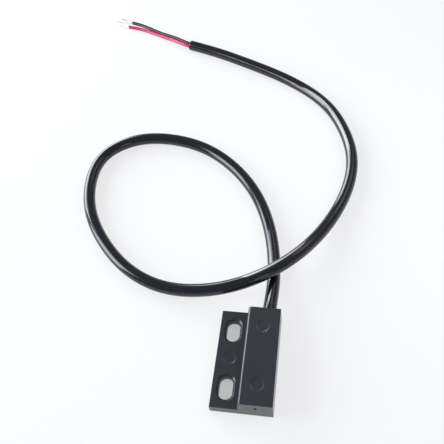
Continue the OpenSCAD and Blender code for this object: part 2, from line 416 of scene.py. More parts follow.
def wander(tree: Tree, source: Sockets, detail: float) -> Socket:
    """Noise of a group's own coordinates and scale, between -1 and 1: 2 noise - 1."""
    level = noise(tree, source["Vector"], source["Scale"], detail)
    return maths(tree, "MULTIPLY_ADD", level, 2.0, -1.0)


class Shared:
    """The effects that several finishes use, each built once as a node group."""

    TONE_DETAIL = 3.0
    SHEEN_DETAIL = 4.0
    GRAIN_DETAIL = 2.0
    LINE_DETAIL = 2.0
    FINE_DETAIL = 0.0
    FINE_SHARE = 0.35

    @staticmethod
    @cache
    def tone_drift() -> Tree:
        """Colour that drifts slowly over the surface: colour times (1 - amount + 2 amount noise)."""
        group, source, result = new_group(
            "tone drift",
            {"Vector": "Vector", "Color": "Color", "Scale": "Float", "Amount": "Float"},
            {"Color": "Color"},
        )
        swing = wander(group, source, Shared.TONE_DETAIL)
        gain = maths(group, "MULTIPLY_ADD", swing, source["Amount"], 1.0)
        scale = group.nodes.new("ShaderNodeVectorMath")
        scale.operation = "SCALE"
        group.links.new(source["Color"], scale.inputs[0])
        group.links.new(gain, scale.inputs["Scale"])
        group.links.new(scale.outputs["Vector"], result["Color"])
        return group

    @staticmethod
    @cache
    def sheen_drift() -> Tree:
        """Roughness that drifts over the surface: roughness + amount (2 noise - 1)."""
        group, source, result = new_group(
            "sheen drift",
            {"Vector": "Vector", "Roughness": "Float", "Scale": "Float", "Amount": "Float"},
            {"Roughness": "Float"},
        )
        swing = wander(group, source, Shared.SHEEN_DETAIL)
        total = maths(group, "MULTIPLY_ADD", swing, source["Amount"], source["Roughness"])
        group.links.new(total, result["Roughness"])
        return group

    @staticmethod
    @cache
    def grain() -> Tree:
        """Height of a fine moulded grain: a coarse noise plus a finer, fainter one."""
        group, source, result = new_group(
            "grain", {"Vector": "Vector", "Scale": "Float", "Fineness": "Float"}, {"Height": "Float"}
        )
        coarse = noise(group, source["Vector"], source["Scale"], Shared.GRAIN_DETAIL)
        finer = maths(group, "MULTIPLY", source["Scale"], source["Fineness"])
        fine = noise(group, source["Vector"], finer, Shared.FINE_DETAIL)
        height = maths(group, "MULTIPLY_ADD", fine, Shared.FINE_SHARE, coarse)
        group.links.new(height, result["Height"])
        return group

    @staticmethod
    @cache
    def drawn_lines() -> Tree:
        """Height of the faint lines that a die leaves along a cord.

        The map's first number goes once round the cord, so its cosine and sine make a seamless
        pair, and its second number, metres along the cord, runs slowly, which stretches the noise.
        """
        group, source, result = new_group(
            "drawn lines", {"Vector": "Vector", "Count": "Float", "Stretch": "Float"}, {"Height": "Float"}
        )
        parts = group.nodes.new("ShaderNodeSeparateXYZ")
        group.links.new(source["Vector"], parts.inputs[0])
        turn = maths(group, "MULTIPLY", parts.outputs["X"], 2 * math.pi)
        where = group.nodes.new("ShaderNodeCombineXYZ")
        group.links.new(maths(group, "COSINE", turn), where.inputs["X"])
        group.links.new(maths(group, "SINE", turn), where.inputs["Y"])
        along = maths(group, "MULTIPLY", parts.outputs["Y"], source["Stretch"])
        group.links.new(along, where.inputs["Z"])
        height = noise(group, where.outputs[0], source["Count"], Shared.LINE_DETAIL)
        group.links.new(height, result["Height"])
        return group


SHEEN_FINENESS = 2.0
GRAIN_FINENESS = 3.0


@dataclass(frozen=True)
class Finish:
    """A surface finish, with its drift and grain worked out from object coordinates."""

    slot: str
    colour: Colour
    roughness: float
    tone_amount: float
    sheen_amount: float
    drift_size: float
    grain_size: float
    grain_depth: float
    metallic: float = 0.0
    ior: float = 1.5
    sheen_tint: Colour = (1.0, 1.0, 1.0)
    transmission: float = 0.0
    line_depth: float = 0.0
    line_count: float = 6.0
    line_stretch: float = 60.0

    @property
    def title(self) -> str:
        """Name of the material, which differs from the plain one of its slot."""
        return self.slot + "_finish"

    def material(self) -> bpy.types.Material:
        """Builds the material.

        Returns:
            A node material named for the finish.
        """
        made = blank_material(self.title)
        tree = made.node_tree
        link = tree.links.new
        out = tree.nodes.new("ShaderNodeOutputMaterial")
        skin = tree.nodes.new("ShaderNodeBsdfPrincipled")
        constants = {
            "Metallic": self.metallic,
            "IOR": self.ior,
            "Specular Tint": (*self.sheen_tint, 1.0),
            "Transmission Weight": self.transmission,
        }
        for label, value in constants.items():
            skin.inputs[label].default_value = value
        spots = tree.nodes.new("ShaderNodeTexCoord").outputs
        tone = self._shared(
            tree, Shared.tone_drift, spots["Object"], Scale=1 / self.drift_size, Amount=self.tone_amount
        )
        tone.inputs["Color"].default_value = (*self.colour, 1.0)
        sheen = self._shared(
            tree, Shared.sheen_drift, spots["Object"],
            Roughness=self.roughness, Scale=SHEEN_FINENESS / self.drift_size, Amount=self.sheen_amount,
        )
        grain = self._shared(
            tree, Shared.grain, spots["Object"], Scale=1 / self.grain_size, Fineness=GRAIN_FINENESS
        )
        height = maths(tree, "MULTIPLY", grain.outputs["Height"], self.grain_depth)
        if self.line_depth:
            lines = self._shared(
                tree, Shared.drawn_lines, spots["UV"], Count=self.line_count, Stretch=self.line_stretch
            )
            height = maths(tree, "MULTIPLY_ADD", lines.outputs["Height"], self.line_depth, height)
        bump = tree.nodes.new("ShaderNodeBump")
        bump.inputs["Distance"].default_value = 1.0
        link(height, bump.inputs["Height"])
        link(tone.outputs["Color"], skin.inputs["Base Color"])
        link(sheen.outputs["Roughness"], skin.inputs["Roughness"])
        link(bump.outputs["Normal"], skin.inputs["Normal"])
        link(skin.outputs["BSDF"], out.inputs["Surface"])
        return made

    @staticmethod
    def _shared(tree: Tree, effect: Callable[[], Tree], where: Socket, **values: float) -> bpy.types.Node:
        """Places a shared effect in a material.

        Args:
            tree: The material's nodes.
            effect: What builds the effect's group.
            where: Coordinates for it.
            values: Numbers for its other inputs, by their names.

        Returns:
            The placed group.
        """
        node = tree.nodes.new("ShaderNodeGroup")
        node.node_tree = effect()
        tree.links.new(where, node.inputs["Vector"])
        for label, value in values.items():
            node.inputs[label].default_value = value
        return node

    def dress(self, piece: Piece, node: str, body: Body = Body.SENSOR) -> None:
        """Gives a piece this finish, hides the node that it stands for, and lets it move with a body.

        Args:
            piece: The new piece.
            node: The node that it replaces.
            body: The body that it rides on.
        """
        made = bpy.data.materials.get(self.title) or self.material()
        piece.data.materials.clear()
        piece.data.materials.append(made)
        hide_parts(node)
        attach(piece, body.value)
        log.info("made %s", piece.name)


MOULDED_BLACK = Finish(
    "housing", (0.029, 0.03, 0.033), roughness=0.24, tone_amount=0.1, sheen_amount=0.05,
    drift_size=6 * MM, grain_size=0.12 * MM, grain_depth=0.001 * MM,
    ior=1.58, sheen_tint=(0.9, 0.93, 1.0),
)
CAST_RESIN = Finish(
    "potting", (0.014, 0.014, 0.0155), roughness=0.16, tone_amount=0.2, sheen_amount=0.08,
    drift_size=3 * MM, grain_size=0.6 * MM, grain_depth=0.006 * MM,
)
REED_GLASS = Finish(
    "glass", (0.72, 0.9, 0.78), roughness=0.03, tone_amount=0.03, sheen_amount=0.01,
    drift_size=2 * MM, grain_size=0.5 * MM, grain_depth=0.0005 * MM, transmission=1.0
)
LEAD_METAL = Finish(
    "reed", (0.66, 0.64, 0.6), roughness=0.28, tone_amount=0.06, sheen_amount=0.08,
    drift_size=0.8 * MM, grain_size=0.06 * MM, grain_depth=0.001 * MM, metallic=1.0
)
CONTACT_METAL = Finish(
    "contact", (0.74, 0.73, 0.7), roughness=0.16, tone_amount=0.05, sheen_amount=0.05,
    drift_size=0.6 * MM, grain_size=0.05 * MM, grain_depth=0.0005 * MM, metallic=1.0
)
SOLDER = Finish(
    "solder", (0.7, 0.71, 0.73), roughness=0.22, tone_amount=0.06, sheen_amount=0.1,
    drift_size=0.5 * MM, grain_size=0.15 * MM, grain_depth=0.003 * MM, metallic=1.0
)
JACKET_BLACK = Finish(
    "jacket", (0.006, 0.0065, 0.009), roughness=0.15, tone_amount=0.15, sheen_amount=0.04,
    drift_size=5 * MM, grain_size=0.25 * MM, grain_depth=0.0006 * MM,
    ior=1.56, line_depth=0.003 * MM,
)
CORE_RED = Finish(
    "red_insulation", (0.58, 0.02, 0.115), roughness=0.28, tone_amount=0.06, sheen_amount=0.05,
    drift_size=2 * MM, grain_size=0.15 * MM, grain_depth=0.001 * MM,
    line_depth=0.002 * MM,
)
CORE_BLACK = Finish(
    "black_insulation", (0.007, 0.007, 0.009), roughness=0.22, tone_amount=0.08, sheen_amount=0.05,
    drift_size=2 * MM, grain_size=0.15 * MM, grain_depth=0.001 * MM,
    line_depth=0.002 * MM,
)
TINNED = Finish(
    "tinned_strands", (0.52, 0.525, 0.53), roughness=0.26, tone_amount=0.06, sheen_amount=0.08,
    drift_size=0.5 * MM, grain_size=0.08 * MM, grain_depth=0.0015 * MM, metallic=1.0
)


LIT_MIDDLE: Point = (-12 * MM, 40 * MM, 0.0)
BEND_MIDDLE: Point = (24.7 * MM, 87.7 * MM, 0.0)
CROSSING_MIDDLE: Point = (11.6 * MM, 17.6 * MM, 2.7 * MM)
RIGHT_MIDDLE: Point = (34 * MM, 46 * MM, 0.0)
FULL_SPREAD_DEG = 180.0
POWER_TO_AREA = 4.0
DAYLIGHT: Colour = (0.91, 0.94, 1.0)


@dataclass(frozen=True)
class Panel:
    """A rectangular lamp that faces a point, placed by its direction and distance from there.

    A narrow spread lights only what lies in front of the lamp.
    """

    name: str
    azimuth_deg: float
    height_deg: float
    distance: float
    width: float
    height: float
    brightness: float
    faces: Point = LIT_MIDDLE
    spread_deg: float = FULL_SPREAD_DEG
    lit: Lit = Lit.ALL

    def _spread_share(self) -> float:
        """Share of the full power that gives a narrow spread the same brightness: 1 - h / tan h."""
        half = math.radians(self.spread_deg / 2)
        return 1 - half / math.tan(half)

    def build(self) -> None:
        """Makes the lamp; its brightness is the radiance of its face, seen from in front."""
        data = bpy.data.lights.new(self.name, "AREA")
        data.shape = "RECTANGLE"
        data.size, data.size_y = self.width, self.height
        face = self.width * self.height
        data.energy = self.brightness * POWER_TO_AREA * face * self._spread_share()
        data.spread = math.radians(self.spread_deg)
        data.color = DAYLIGHT
        turn, lift = math.radians(self.azimuth_deg), math.radians(self.height_deg)
        level = self.distance * math.cos(lift)
        rise = self.distance * math.sin(lift)
        where = Vector((level * math.cos(turn), level * math.sin(turn), rise))
        lamp = place(self.name, data)
        lamp.location = where + Vector(self.faces)
        lamp.visible_diffuse = self.lit is not Lit.SHEEN
        lamp.visible_glossy = self.lit is not Lit.MATT
        lamp.rotation_euler = (-where).to_track_quat("-Z", "Y").to_euler()
        lamp.visible_camera = False


@dataclass
class Studio:
    """Camera, pale sweep and soft lights."""

    camera_place: Point = (11.5 * MM, -51.67 * MM, 127.03 * MM)
    camera_aim: Point = (-10.96 * MM, 38.6 * MM, 0.0)
    camera_roll_deg: float = -7.72
    focal_px: float = 593.0
    image_px: float = 444.0
    near_clip: float = 5 * MM
    floor_drop: float = 0.03 * MM
    floor_flat_r: float = 0.4
    floor_r: float = 1.3
    cove_r: float = 0.5
    wall_h: float = 0.2
    cove_steps: int = 13
    sweep_sides: int = 96
    floor_tone: Colour = (0.89, 0.885, 0.865)
    shown_white: float = 0.72
    # Painted shade: the floor under the case shows this lower share of white than around it.
    painted_shade_white: float = 0.4
    # Painted shade: mirror images of the floor under the case show only this share of the white.
    mirrored_painted_shade: float = 0.5
    contact_reach: float = 0.5 * MM
    ambient: Colour = (0.3, 0.32, 0.375)
    panels: Sequence[Panel] = (
        Panel(
            "window far left", azimuth_deg=141.5, height_deg=16, distance=0.6, width=0.55,
            height=0.38, brightness=6.2,
        ),
        Panel(
            "window near left", azimuth_deg=189, height_deg=21, distance=0.6, width=0.3,
            height=0.46, brightness=6.0,
        ),
        Panel(
            "fill near", azimuth_deg=307, height_deg=27, distance=0.6, width=0.16,
            height=0.13, brightness=1.8,
        ),
        Panel(
            "fill far", azimuth_deg=49, height_deg=47, distance=0.6, width=0.36,
            height=0.13, brightness=0.9,
        ),
        Panel(
            "card at the bend", azimuth_deg=203, height_deg=34, distance=0.02, width=0.018,
            height=0.011, brightness=8.5, faces=BEND_MIDDLE, lit=Lit.SHEEN,
        ),
        Panel(
            "card at the crossing", azimuth_deg=124, height_deg=24, distance=0.02, width=0.020,
            height=0.014, brightness=14, faces=CROSSING_MIDDLE, spread_deg=60, lit=Lit.SHEEN,
        ),
        Panel(
            "fill at the right", azimuth_deg=0, height_deg=55, distance=0.12, width=0.1,
            height=0.1, brightness=1.75, faces=RIGHT_MIDDLE, spread_deg=80, lit=Lit.MATT,
        ),
    )

    def camera(self) -> None:
        """Makes the camera: level at its aim, then rolled about its own axis."""
        data = bpy.data.cameras.new("camera")
        data.lens = data.sensor_width * self.focal_px / self.image_px
        data.clip_start = self.near_clip
        view = unit(np.array(self.camera_aim) - np.array(self.camera_place))
        level = unit(np.cross(view, UP))
        over = np.cross(level, view)
        roll = math.radians(self.camera_roll_deg)
        right = math.cos(roll) * level + math.sin(roll) * over
        turn = np.eye(4)
        turn[:3, 0], turn[:3, 1], turn[:3, 2] = right, np.cross(right, view), -view
        turn[:3, 3] = self.camera_place
        holder = place("camera", data)
        holder.matrix_world = Matrix(turn.tolist())
        bpy.context.scene.camera = holder

    def sweep(self) -> None:
        """Makes the floor and backdrop as one turned profile: flat, a quarter round, then a wall."""
        bend = quarter(self.cove_steps)
        r = np.r_[0.0, self.floor_flat_r, self.floor_r + self.cove_r * np.sin(bend)]
        z = np.r_[0.0, 0.0, self.cove_r * (1 - np.cos(bend))]
        r, z = np.append(r, r[-1]), np.append(z, z[-1] + self.wall_h) - self.floor_drop
        floor = new_piece("studio_sweep", [turned(r, z, self.sweep_sides)])
        floor.data.materials.append(self._paper())

    def _paper(self) -> bpy.types.Material:
        """White paper that shows near white, keeps shadows, and can be seen through from below.

        The floor under the case shows less white, which paints shade there, and so do its mirror images
        in the slots. It lets through the short rays from the underside of the case, which is lit as on a
        glass table.

        Returns:
            The material of the floor and backdrop.
        """
        made = blank_material("studio_paper")
        tree = made.node_tree
        n, link, step = tree.nodes, tree.links.new, partial(maths, tree)
        rays = n.new("ShaderNodeLightPath").outputs
        paper, glow = n.new("ShaderNodeBsdfDiffuse"), n.new("ShaderNodeEmission")
        paper.inputs["Color"].default_value = (*self.floor_tone, 1.0)
        where = n.new("ShaderNodeSeparateXYZ")
        link(n.new("ShaderNodeTexCoord").outputs["Object"], where.inputs[0])
        centre, half = middle("housing"), np.ptp(span("housing"), axis=0) / 2
        off = [step("SUBTRACT", where.outputs[a], c) for a, c in zip("XY", centre.tolist())]
        beside = [step("SUBTRACT", step("ABSOLUTE", o), h) for o, h in zip(off, half.tolist())]
        # Mask of the floor beyond the case's footprint; where it is nought, under the case, shade is
        # painted.
        clear = step("GREATER_THAN", step("MAXIMUM", *beside), 0.0)
        level = step("LESS_THAN", where.outputs["Z"], self.floor_drop)
        # Painted shade in the mirror images of the floor under the case, which the slots show.
        painted_shade_in_mirror = step("MULTIPLY_ADD", clear, 1 - self.mirrored_painted_shade, self.mirrored_painted_shade)
        bright = step("MULTIPLY", level, painted_shade_in_mirror)
        mirrored = step("MULTIPLY", rays["Is Glossy Ray"], bright)
        # Painted shade: the camera sees less white on the floor under the case than around it.
        gain = self.shown_white - self.painted_shade_white
        white = step("MULTIPLY_ADD", clear, gain, self.painted_shade_white)
        either = step("MAXIMUM", rays["Is Camera Ray"], mirrored)
        shown = step("MAXIMUM", either, rays["Is Transmission Ray"])
        face, under = n.new("ShaderNodeMixShader"), n.new("ShaderNodeMixShader")
        link(step("MULTIPLY", shown, white), face.inputs["Fac"])
        link(paper.outputs[0], face.inputs[1])
        link(glow.outputs[0], face.inputs[2])
        near = step("LESS_THAN", rays["Ray Length"], self.contact_reach)
        from_case = step("MULTIPLY", near, step("SUBTRACT", 1.0, clear))
        below = n.new("ShaderNodeNewGeometry").outputs["Backfacing"]
        link(step("MAXIMUM", below, from_case), under.inputs["Fac"])
        link(face.outputs[0], under.inputs[1])
        link(n.new("ShaderNodeBsdfTransparent").outputs[0], under.inputs[2])
        link(under.outputs[0], n.new("ShaderNodeOutputMaterial").inputs["Surface"])
        return made

    def lights(self) -> None:
        """Makes the windows at the left, the fills, two cards by the cable and an even ambient light."""
        for panel in self.panels:
            panel.build()
        world = bpy.data.worlds.new("room")
        bpy.context.scene.world = world
        world.use_nodes = True
        world.node_tree.nodes["Background"].inputs["Color"].default_value = (*self.ambient, 1.0)


@dataclass
class Cable:
    """The round cable, its two cores past its ends, and their tinned strands."""

    jacket_d: float = 3.2 * MM
    core_d: float = 1.1 * MM
    strands_d: float = 0.7 * MM
    core_gap: float = 0.1 * MM
    jacket_length: float = 300 * MM
    exit_point: Point = (4.025 * MM, 11.5 * MM, 2.95 * MM)
    held_in_case: float = 3.6 * MM
    core_straight: float = 0.8 * MM
    joint_straight: float = 0.4 * MM
    strands_over_joint: float = 0.33 * MM
    strands_out: float = 1.15 * MM
    strands_in: float = 0.35 * MM
    ring_step: float = 0.6 * MM
    core_step: float = 0.2 * MM
    strand_step: float = 0.12 * MM
    jacket_sides: int = 40
    core_sides: int = 24
    strand_sides: int = 10
    rim_r: float = 0.14 * MM
    core_rim_r: float = 0.06 * MM
    cut_hole_d: float = 2.42 * MM
    cut_depth: float = 0.7 * MM
    core_hole_depth: float = 0.24 * MM
    rim_steps: int = 6
    rim_room: float = 1.5
    turn_steps: int = 7
    bare_steps: int = 16
    strand_count: int = 7
    strands_across: int = 3
    strand_squeeze: float = 1.06
    strand_end: float = 0.7
    lay_length: float = 7 * MM

    def route(self) -> Array:
        """Centre line of the jacket, from inside the case to its cut end.

        Returns:
            Points a ring step apart, none lower than the jacket's radius.
        """
        x, y, z = (v / MM for v in self.exit_point)
        lift = z - self.jacket_d / MM / 2
        return self._laid([
            [x, y - self.held_in_case / MM, lift], [x, y, lift],
            [4.2, 16, 0.9], [4.2, 22, 0.2], [3.5, 29, 0], [1, 39, 0], [-3.5, 48.5, 0], [-10.5, 57, 0],
            [-19, 63, 0], [-29.5, 66, 0], [-40, 65, 0], [-48, 58.5, 0], [-49.5, 48, 0],
            [-46.5, 37.5, 0], [-40.5, 28.5, 0], [-33, 21.5, 0], [-23.5, 17, 0.2], [-13, 16, 1.4],
            [-3, 18, 3.1], [6, 23.5, 3.6], [13, 32, 2], [18, 41.5, 0.3], [21.5, 51.5, 0],
            [22.5, 62, 0], [20, 73, 0], [15, 82.5, 0], [7.5, 90, 0], [-1.5, 96, 0], [-11, 101, 0],
            [-20.5, 105.5, 0], [-31, 109.5, 0],
        ], self.jacket_d, self.ring_step)

    @staticmethod
    def _laid(route_mm: Sequence, thick: float, step: float, start: Sequence[Array] = ()) -> Array:
        """Smooth centre line of a cord that lies on the surface.

        Args:
            route_mm: Points across, along and the height of the cord's underside, in millimetres.
            thick: Diameter of the cord.
            step: Distance between the points of the result.
            start: Points of the centre line before the route, in metres.

        Returns:
            Points along the cord, raised where it would dip below the surface.
        """
        knots = np.array(route_mm, float) * MM
        knots[:, 2] += thick / 2
        path = natural_spline(np.vstack([*start, knots]), step)
        path[:, 2] = np.maximum(path[:, 2], thick / 2)
        return path

    def _cut_tube(
        self, path: Array, radius: float, rim: float, hole: tuple[float, float], sides: int
    ) -> Array:
        """A tube that is cut square at its far end, with a hole in the cut face.

        The rim is a quarter round, the cut face runs in to the hole, and the hole runs back.

        Args:
            path: Centre line.
            radius: Outer radius.
            rim: Radius of the rim.
            hole: Radius and depth of the hole.
            sides: Points of a ring.

        Returns:
            Ring points of shape (1, rings, sides, 3).
        """
        hole_r, depth = hole
        bend = quarter(self.rim_steps)
        body = np.flatnonzero(np.linalg.norm(path - path[-1], axis=1) > self.rim_room * rim)
        back = np.r_[rim * (1 - np.sin(bend)), 0.0, depth, depth]
        rounded = radius - rim * (1 - np.cos(bend))
        radii = np.r_[0.0, np.full(len(body), radius), rounded, hole_r, hole_r, 0.0]
        at = np.r_[0, body, np.full(len(back), len(path) - 1)]
        centres = path[at]
        centres[-len(back):] -= back[:, None] * unit(path[-1] - path[-2])
        across, over = path_axes(path)
        return carried(centres, (across[at], over[at]), circle(radii, sides))[None]

    def _core(self, path: Array) -> Array:
        """Rings of one insulated core, cut square where its strands come out."""
        hole = (self.strands_d / 2, self.core_hole_depth)
        return self._cut_tube(path, self.core_d / 2, self.core_rim_r, hole, self.core_sides)

    def _strands(self, path: Array) -> Array:
        """Strands laid round one middle strand: path + t (cos a across + sin a over), a = 2 pi s / lay.

        Args:
            path: Middle line of the core.

        Returns:
            Ring points of shape (strands, rings, sides, 3), each strand closed at both ends.
        """
        thick = self.strands_d / self.strands_across
        across, over = path_axes(path)
        s = np.r_[0.0, np.cumsum(np.linalg.norm(np.diff(path, axis=0), axis=1))]
        start = turns(self.strand_count - 1)
        angle = (start[:, None] + 2 * np.pi * s / self.lay_length)[..., None]
        outer = path + thick * (np.cos(angle) * across + np.sin(angle) * over)
        lines = np.concatenate([path[None], outer])
        return closed_tube(lines, thick / 2 * self.strand_squeeze, self.strand_end, self.strand_sides)

    def _offset(self, core: Core) -> float:
        """How far a core lies to the right of the cable's middle."""
        return (1 if core is Core.BLACK else -1) * (self.core_d + self.core_gap) / 2

    def _tail(self, core: Core, end: Array, out: Array) -> tuple[Array, Array]:
        """Lines of a core past the cut end of the cable.

        Args:
            core: Which core.
            end: Middle of the cut end.
            out: Direction in which the cable ends.

        Returns:
            The insulated line, and the line of its bare tip.
        """
        routes = {
            Core.BLACK: (
                [[-36, 113.1, 0.7], [-40.8, 115.7, 0.3], [-45.6, 118.4, 0], [-50.6, 121.1, 0],
                 [-54.5, 122.6, 0]],
                [[-56.5, 123.5, 0], [-59, 124.5, 0]],
            ),
            Core.RED: (
                [[-36.6, 111.9, 0.7], [-41.4, 114.5, 0.3], [-46.2, 117.1, 0], [-51, 119.1, 0],
                 [-55.3, 120.2, 0]],
                [[-57.5, 121.5, 0], [-60.5, 123, 0]],
            ),
        }
        root = end + self._offset(core) * unit(np.cross(out, UP))
        before = [root - out * self.cut_depth, root, root + out * self.core_straight]
        route, tip = routes[core]
        line = self._laid(route, self.core_d, self.core_step, before)
        inside = line[-1] - unit(line[-1] - line[-2]) * self.core_straight
        thick = self.strands_d / self.strands_across * (self.strands_across - 1 + self.strand_squeeze)
        return line, self._laid(tip, thick, self.strand_step, [inside, line[-1]])

    def _indoors(self, core: Core) -> tuple[Array, Array]:
        """Lines of a core inside the case, from the end of the jacket to its solder joint.

        The red core runs back to the joint that is nearer the cable. The black one passes the glass
        and turns across to the other joint on a quarter circle.

        Args:
            core: Which core.

        Returns:
            The insulated line, and the bare line into the joint.
        """
        red = core is Core.RED
        joint = middle("far_solder" if red else "near_solder") + self.strands_over_joint * UP
        way = np.array([0.0, 1.0, 0.0] if red else [1.0, 0.0, 0.0])
        end, tip = joint + self.strands_out * way, joint - self.strands_in * way
        start = np.array(self.exit_point) + [self._offset(core), -self.held_in_case, 0]
        straight = np.array([0, self.core_straight, 0])
        onward = [end + straight]
        if not red:
            turn = start[0] - end[0] - self.joint_straight
            angle = quarter(self.turn_steps)
            onward = np.stack([
                start[0] - turn * (1 - np.cos(angle)),
                joint[1] + turn * (1 - np.sin(angle)),
                np.full(len(angle), joint[2]),
            ], axis=-1)
        knots = np.vstack([start, start - straight, *onward, end])
        bare = end + (tip - end) * np.linspace(0, 1, self.bare_steps)[:, None]
        return natural_spline(knots, self.core_step), bare

    def build(self) -> None:
        path = self.route()
        hole = (self.cut_hole_d / 2, self.cut_depth)
        rings = self._cut_tube(path, self.jacket_d / 2, self.rim_r, hole, self.jacket_sides)
        jacket = new_piece("cable_jacket_form", [rings])
        JACKET_BLACK.dress(jacket, "cable_jacket")
        pieces = []
        for core, finish in ((Core.BLACK, CORE_BLACK), (Core.RED, CORE_RED)):
            line, tip = self._tail(core, path[-1], unit(path[-1] - path[-2]))
            indoors, bare = self._indoors(core)
            wire = new_piece(core.value + "_wire_form", [self._core(indoors), self._core(line)])
            strands = new_piece(core.value + "_conductor_form", [self._strands(bare), self._strands(tip)])
            finish.dress(wire, core.value + "_wire")
            TINNED.dress(strands, core.value + "_conductor")
            pieces += [wire, strands]


